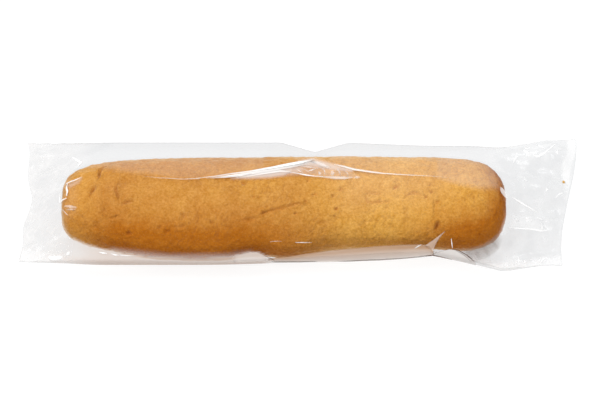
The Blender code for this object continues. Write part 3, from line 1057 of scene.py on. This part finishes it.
def addPinch(bm, sheet, line):
    # a low ridge with a flat crown, closed at both ends
    white = bm.verts.layers.float["hazeAndHighlight"]
    rows = sampled(line, pinches["step"])
    spots = [onFilm(sheet, px, py) for px, py, _, _ in rows]
    face = None
    for i, ((spot, normal), (_, _, width, share)) in enumerate(zip(spots, rows)):
        tangent = spots[min(i + 1, len(spots) - 1)][0] - spots[max(i - 1, 0)][0]
        side = tangent.cross(normal).normalized() * width / 2000
        corners = []
        for turn, up in ((-1.0, 0.0), (-pinches["core"], 1.0), (pinches["core"], 1.0), (1.0, 0.0)):
            foot, out, _, _ = sheet.find_nearest(spot + side * turn)
            rise = min(pinches["rise"] * width / 1000, pinches["most"]) * up
            corners.append((foot + out * (rise + pinches["clear"]), share * up))
        if face is None:
            face = bm.faces.new([bm.verts.new(co) for co, _ in corners])
            ends = list(face.verts)
        elif i == 1:  # the first face stays as the end
            grown = bmesh.ops.extrude_face_region(bm, geom=[face])["geom"]
            face = next(part for part in grown if isinstance(part, bmesh.types.BMFace))
            ends = list(face.verts)
        else:
            face = bmesh.ops.extrude_discrete_faces(bm, faces=[face])["faces"][0]
            ends = list(face.verts)
        for v, (co, value) in zip(ends, corners):
            v.co = co
            v[white] = value


def makePinches(name, lines, material, sheet):
    bm = bmesh.new()
    bm.verts.layers.float.new("hazeAndHighlight")
    for line in lines:
        addPinch(bm, sheet, line)
    bm.normal_update()
    bmesh.ops.recalc_face_normals(bm, faces=bm.faces)
    keep(bm, name, "film", material)


# Lines of painted shade where the film's cut edge or a tight fold is seen, and painted shadow streaks,
# given as the folds are, with the share of cover for the white.
edges = {
    "color": (0.17, 0.10, 0.07),
    "lines": (
        (
            (410, 257.4, 0.5, 0.4), (424, 256, 1.0, 0.95), (432.4, 255, 1.1, 1.0),
            (441, 256.7, 1.0, 0.9), (452, 259.4, 0.7, 0.4),
        ),
        ((432, 254.4, 0.4, 0.6), (441, 251.4, 0.4, 0.3), (449.6, 249, 0.4, 0.2)),
        (
            (450, 249, 0.5, 0.3), (458, 250, 0.8, 0.8), (466, 254.4, 0.8, 0.8),
            (474.6, 261.6, 0.6, 0.5),
        ),
        ((456, 250.4, 0.4, 0.2), (464, 255, 0.5, 0.4), (471, 261, 0.5, 0.3)),
        (
            (444.6, 231.6, 0.3, 0.3), (440, 236.8, 0.4, 0.4), (436, 243.4, 0.4, 0.4),
            (433, 253, 0.4, 0.5),
        ),
        ((262, 254.4, 0.4, 0.2), (268, 257.2, 0.6, 0.6), (274.4, 260, 0.6, 0.7)),
        # painted shadow streaks in the shaded hollow
        ((466, 250.8, 1.6, 0.04), (468.6, 254.6, 3.0, 0.10), (472.4, 258.6, 1.6, 0.03)),
        ((475, 250.4, 2.0, 0.05), (477.6, 254.4, 3.6, 0.14), (481, 260, 2.0, 0.03)),
        ((484, 248, 2.0, 0.06), (486.6, 251.8, 3.6, 0.14), (489.6, 256.8, 2.0, 0.03)),
        ((493, 242, 1.6, 0.06), (495.6, 245.6, 3.0, 0.10), (498.4, 249.4, 1.6, 0.02)),
    ),
}

# Film that lies double or hangs as a fin, and patches of painted highlight and painted shadow on the film:
# its two edges in pixels, how white (milky film or painted highlight) and how tan (painted reflection of
# the crust) it is along each, how dark (painted shade) it is, and how far its long edges and its ends fade,
# as shares.
panels = {
    "lift": 0.00015,
    "thick": 0.0001,
    "step": 1.4,  # pixels between sections
    "least": 3,  # sections
    "across": 12,
    "gloss": 0.5,
    "rimShare": -0.01,  # where an edge's fade starts, so that a little is left at the very edge
    "sheets": {
        "body of the long fold": {
            "upper": ((208, 177.6), (230, 175), (250, 171.9), (275, 166.8), (300, 161.2), (314, 159)),
            "lower": ((208, 178.8), (230, 177.2), (250, 175), (275, 171.2), (300, 166.4), (316, 163.4)),
            "white": (0.85, 0.60), "warm": (0, 0.05), "dark": 0.0, "fade": (0.12, 0.22),
        },
        "fin along the front": {
            "upper": (
                (268, 258.4), (287.6, 256.6), (306, 253.4), (321.2, 251.3), (345.7, 248.4),
                (382.5, 245.3), (405, 244.2), (417.7, 243.9), (424, 244.4), (430, 246.6), (434, 252.4),
            ),
            "lower": (
                (268, 260.8), (287.6, 262.2), (306, 262.4), (321.2, 262.5), (345.7, 262.1),
                (382.5, 260.6), (405, 258.7), (417.7, 257.4), (424, 256.7), (430, 256.1), (434.4, 255.4),
            ),
            "white": (0.86, 0.92), "warm": (1.25, 0.36), "dark": 0.10, "fade": (0.05, 0.02),
        },
        "edge below the fin, left": {
            "layer": 3,  # lies over the fin
            "upper": ((269, 260.2), (275, 260.9), (285, 261), (300, 261), (318, 261.2)),
            "lower": ((269, 260.8), (275, 262.1), (285, 262.1), (300, 262), (318, 261.8)),
            "white": (0.70, 0.70), "warm": (0, 0), "dark": 0.9, "fade": (0.1, 0.16),
        },
        "edge below the fin, right": {
            "layer": 3,  # lies over the fin
            "upper": (
                (330, 261.1), (345, 260.9), (360, 260.1), (380, 259.3), (400, 258.1), (425, 256),
                (433.4, 255.2),
            ),
            "lower": (
                (330, 261.6), (345, 261.8), (360, 261.1), (380, 260.4), (400, 259.2), (425, 257.1),
                (433.4, 256.4),
            ),
            "white": (0.78, 0.78), "warm": (0, 0), "dark": 0.9, "fade": (0.1, 0.22),
        },
        "pleat above the fin's end": {
            "upper": ((445.4, 230.8), (440, 234.8), (435, 238.6), (429, 242.4), (424, 245.6)),
            "lower": ((445.4, 231.2), (441.8, 235.4), (438.2, 240.4), (435.4, 245.6), (433.4, 253)),
            "white": (0.66, 0.58), "warm": (0.70, 0.80), "dark": 0.0, "fade": (0.10, 0.03),
        },
        "turned corner to its right": {
            "upper": (
                (432.6, 254), (441, 251.2), (449.3, 248.8), (457.8, 249.8), (466, 254),
                (475.6, 261.4),
            ),
            "lower": (
                (432.6, 255.6), (441, 257.2), (449.3, 259), (457.8, 261.2), (466, 263.2), (476, 265.6),
            ),
            "white": (0.80, 0.66), "warm": (0.16, 0.12), "dark": 0.38, "fade": (0.03, 0.03),
        },
        "shaded hollow beyond it": {
            "upper": ((452, 247.6), (467, 247.8), (480.6, 244.2), (491.4, 237.8), (500, 228)),
            "lower": ((473, 261.6), (479, 263.6), (488, 260.4), (498, 252), (505, 240)),
            "white": (0.78, 0.12), "warm": (0, 0), "dark": 1.0, "fade": (0.24, 0.25),
        },
        "light caught at the right tip": {
            "upper": ((499.8, 186.4), (503, 188.2), (506, 192.4), (508, 197.6)),
            "lower": ((499.6, 188), (500.6, 192.4), (503.6, 196.4), (507.4, 199.6)),
            "white": (0.62, 0.55), "warm": (0, 0), "dark": 0.06, "fade": (0.12, 0.15),
        },
        "point at the left of the fin": {
            "upper": ((226, 256.6), (240, 254.2), (251, 251.8), (257, 251.8), (264, 254.8), (273, 258.8)),
            "lower": ((226, 262.4), (240, 262.4), (251, 262), (257, 261.6), (264, 261.2), (273, 260.8)),
            "white": (0.60, 0.60), "warm": (0.45, 0.40), "dark": 0.0, "fade": (0.10, 0.30),
        },
        "panel that folds over in the right tail": {
            "upper": ((511, 213.6), (520, 214.6), (532, 217.2), (543, 222)),
            "lower": ((507, 228), (518, 228.6), (531, 229.6), (544, 231)),
            "white": (0.20, 0.26), "warm": (0, 0), "dark": 0.0, "fade": (0.12, 0.10),
        },
    },
}


def between(ends, share):
    # ends are the values at the upper edge and at the lower one
    return ends[1] + (ends[0] - ends[1]) * share


def addPanel(bm, sheet, panel):
    shiny, white, tan, shade = (bm.verts.layers.float[name] for name in ("gloss", "hazeAndHighlight", "warm", "dark"))
    upper, lower = np.array(panel["upper"], float), np.array(panel["lower"], float)
    span = np.concatenate([[0.0], np.cumsum(np.hypot(*np.diff(upper, axis=0).T))])
    count = max(round(span[-1] / panels["step"]), panels["least"])
    made = bmesh.ops.create_grid(bm, x_segments=count, y_segments=panels["across"], size=0.5)["verts"]
    faces = list({f for v in made for f in v.link_faces})
    for v in made:
        u, w = v.co.x + 0.5, v.co.y + 0.5  # along it, and from its lower edge to its upper one
        at = u * span[-1]
        a, b = (np.array([np.interp(at, span, edge[:, k]) for k in (0, 1)]) for edge in (upper, lower))
        spot, normal = onFilm(sheet, *between((a, b), w))
        kept = smoothStep(min(w, 1.0 - w), panels["rimShare"], panel["fade"][0])
        kept = kept * smoothStep(min(u, 1.0 - u), panels["rimShare"], panel["fade"][1])
        v.co = spot + normal * panels["lift"] * panel.get("layer", 1)
        v[white] = between(panel["white"], w) * kept
        v[shiny] = panels["gloss"] * kept
        v[tan] = between(panel["warm"], w)
        v[shade] = panel["dark"]
    raised = bmesh.ops.extrude_face_region(bm, geom=faces, use_keep_orig=True)["geom"]
    for v in raised:
        if isinstance(v, bmesh.types.BMVert):
            v.co = v.co + sheet.find_nearest(v.co)[1] * panels["thick"]
            v[white], v[shiny] = 0.0, 0.0


def makePanels(material, sheet):
    bm = bmesh.new()
    for name in ("gloss", "hazeAndHighlight", "warm", "dark"):
        bm.verts.layers.float.new(name)
    for panel in panels["sheets"].values():
        addPanel(bm, sheet, panel)
    bm.normal_update()
    bmesh.ops.recalc_face_normals(bm, faces=bm.faces)
    keep(bm, "film_panels", "film", material)


# A crumb caught in the right end seal.
crumb = {
    "pixel": (563.2, 182.8),
    "size": 0.0009,
    "uneven": 0.3,
    "standsOut": 0.8,  # of its radius
    "speckle": (1500.0, 2.0, 0.5, 0.3, 0.7),  # noise: scale, detail, roughness, lowest, highest
    "dark": (0.50, 0.24, 0.04),
    "light": (0.80, 0.50, 0.14),
    "roughness": 0.7,
}


def crumbFinish():
    material, nodes, surface = startMaterial("crumbCrust")
    shader = addNode(nodes, "ShaderNodeBsdfPrincipled", Roughness=crumb["roughness"])
    tone = mixColors(nodes, speckled(nodes, *crumb["speckle"]), crumb["dark"], crumb["light"])
    feed(shader.inputs["Base Color"], tone)
    feed(surface, shader.outputs[0])
    return material


def makeCrumb(material, sheet):
    bm = bmesh.new()
    bmesh.ops.create_icosphere(bm, subdivisions=3, radius=crumb["size"])
    spot, normal = onFilm(sheet, *crumb["pixel"])
    for v in bm.verts:
        v.co = v.co * (1.0 + crumb["uneven"] * noise.noise(v.co / crumb["size"]))
    bmesh.ops.translate(bm, vec=spot + normal * crumb["size"] * crumb["standsOut"], verts=bm.verts)
    keep(bm, "crumb", "crust", material)


filmLook = {
    "upper": (0.960, 0.963, 0.967),  # what passes through each layer
    # the lower layer passes less light, as painted shade where it lies on the floor
    "lower": (0.810, 0.815, 0.820),
    "folded": (1.0, 1.0, 1.0),
    "white": (0.97, 0.97, 0.97),
    "tan": (0.475, 0.305, 0.198),  # painted reflection of the crust in doubled film
    # painted shade of the shaded hollow, the turned corner and the darker fold edges
    "shade": (0.22, 0.17, 0.14),
    "faceOn": 0.06,  # share that mirrors, then what is added to it edge on
    "edgeOn": 0.70,
    "edgePower": 4.0,
    "roughness": 0.14,
    "crinkle": (130.0, 3.0, 0.5, 0.3, 0.7),  # noise: scale, detail, roughness, lowest, highest
    "bump": 0.03,
    "bumpDepth": 0.001,
}


def filmFinish(name, passes, haze):
    # clear film with its mirror, under a white haze as thick as its painted layer says, partly milky film
    # and partly painted highlight and reflection; tanned by painted reflection of the crust or darkened by
    # painted shade
    material, nodes, surface = startMaterial(name)
    clear = addNode(nodes, "ShaderNodeBsdfTransparent", Color=(*passes, 1.0))
    mirror = addNode(nodes, "ShaderNodeBsdfGlossy", Roughness=filmLook["roughness"])
    white = nodes.new("ShaderNodeBsdfDiffuse")
    tint = mixColors(nodes, painted(nodes, "warm"), haze, filmLook["tan"])
    tint = mixColors(nodes, painted(nodes, "dark"), tint, filmLook["shade"])
    feed(white.inputs["Color"], tint)
    bump = addNode(nodes, "ShaderNodeBump", Strength=filmLook["bump"], Distance=filmLook["bumpDepth"])
    feed(bump.inputs["Height"], speckled(nodes, *filmLook["crinkle"]))
    feed(mirror.inputs["Normal"], bump.outputs[0])
    facing = nodes.new("ShaderNodeLayerWeight")
    rise = calculate(nodes, "POWER", facing.outputs["Facing"], filmLook["edgePower"])
    rise = calculate(nodes, "MULTIPLY_ADD", rise, filmLook["edgeOn"], filmLook["faceOn"])
    share = calculate(nodes, "MULTIPLY", rise, painted(nodes, "gloss"))
    sheen = mixShaders(nodes, share, clear.outputs[0], mirror.outputs[0])
    whole = mixShaders(nodes, painted(nodes, "hazeAndHighlight"), sheen, white.outputs[0])
    feed(surface, whole)
    return material


studio = {
    "world": (0.97, 0.985, 1.01),
    "worldStrength": 0.68,
    "key": 21.9,
    "keyPlace": (-0.60, -0.10, 1.80),
    "keySize": (1.1, 0.9),
    "keyColor": (1.0, 0.975, 0.94),
    "fill": 2.5,
    "fillPlace": (0.60, -1.50, 0.90),
    "fillSize": (0.9, 0.7),
    "fillColor": (1.0, 0.86, 0.70),
    "glints": (  # lights that show in the film: place, size, power
        ((-0.75, 0.95, 1.6), (0.55, 0.40), 1.6),
        ((0.85, 1.00, 1.45), (0.40, 0.55), 1.6),
        ((0.25, 1.65, 0.85), (0.9, 0.25), 1.4),
    ),
    "floorGlow": 0.87,
    "floorColor": (0.17, 0.17, 0.17, 1.0),
    "floorRoughness": 0.7,
    "floorRadius": 6.0,
    "floorSides": 96,
}


def areaLight(name, place, size, power, color=(1.0, 1.0, 1.0), shown=True):
    # points at the part; shown says whether the film mirrors it
    data = bpy.data.lights.new(name, "AREA")
    data.shape = "RECTANGLE"
    data.size, data.size_y = size
    data.energy = power
    data.color = color
    light = bpy.data.objects.new(name, data)
    light.location = place
    light.rotation_euler = (-Vector(place)).to_track_quat("-Z", "Y").to_euler()
    light.visible_glossy = shown
    bpy.context.scene.collection.objects.link(light)


def makeStudio():
    world = bpy.data.worlds.new("softRoom")
    world.use_nodes = True
    world.node_tree.nodes["Background"].inputs["Color"].default_value = (*studio["world"], 1.0)
    world.node_tree.nodes["Background"].inputs["Strength"].default_value = studio["worldStrength"]
    bpy.context.scene.world = world
    for name in ("key", "fill"):
        place, size, color = (studio[name + part] for part in ("Place", "Size", "Color"))
        areaLight(name + "Light", place, size, studio[name], color, shown=False)
    for k, (place, size, power) in enumerate(studio["glints"]):
        areaLight(f"glint{k}", place, size, power)
    material, nodes, surface = startMaterial("paleFloor")
    shader = addNode(nodes, "ShaderNodeBsdfPrincipled", Roughness=studio["floorRoughness"])
    shader.inputs["Base Color"].default_value = studio["floorColor"]
    shader.inputs["Emission Color"].default_value = (1.0, 1.0, 1.0, 1.0)
    shader.inputs["Emission Strength"].default_value = studio["floorGlow"]
    feed(surface, shader.outputs[0])
    bm = bmesh.new()
    bmesh.ops.create_circle(bm, cap_ends=True, segments=studio["floorSides"], radius=studio["floorRadius"])
    addPiece(bm, "floor", material)
    bpy.context.scene.view_settings.view_transform = "Standard"


makeCamera()
makeStudio()
print("camera and studio placed")
makeRoll(crustFinish())
upperFilm = filmFinish("upperFilm", filmLook["upper"], filmLook["white"])
lowerFilm = filmFinish("lowerFilm", filmLook["lower"], filmLook["white"])
foldedFilm = filmFinish("foldedFilm", filmLook["folded"], filmLook["white"])
foldShade = filmFinish("foldShade", filmLook["folded"], edges["color"])
sheet = makeBag(upperFilm, lowerFilm)
makePinches("film_folds", pinches["lines"], foldedFilm, sheet)
makePinches("film_edges", edges["lines"], foldShade, sheet)
makePanels(foldedFilm, sheet)
makeCrumb(crumbFinish(), sheet)
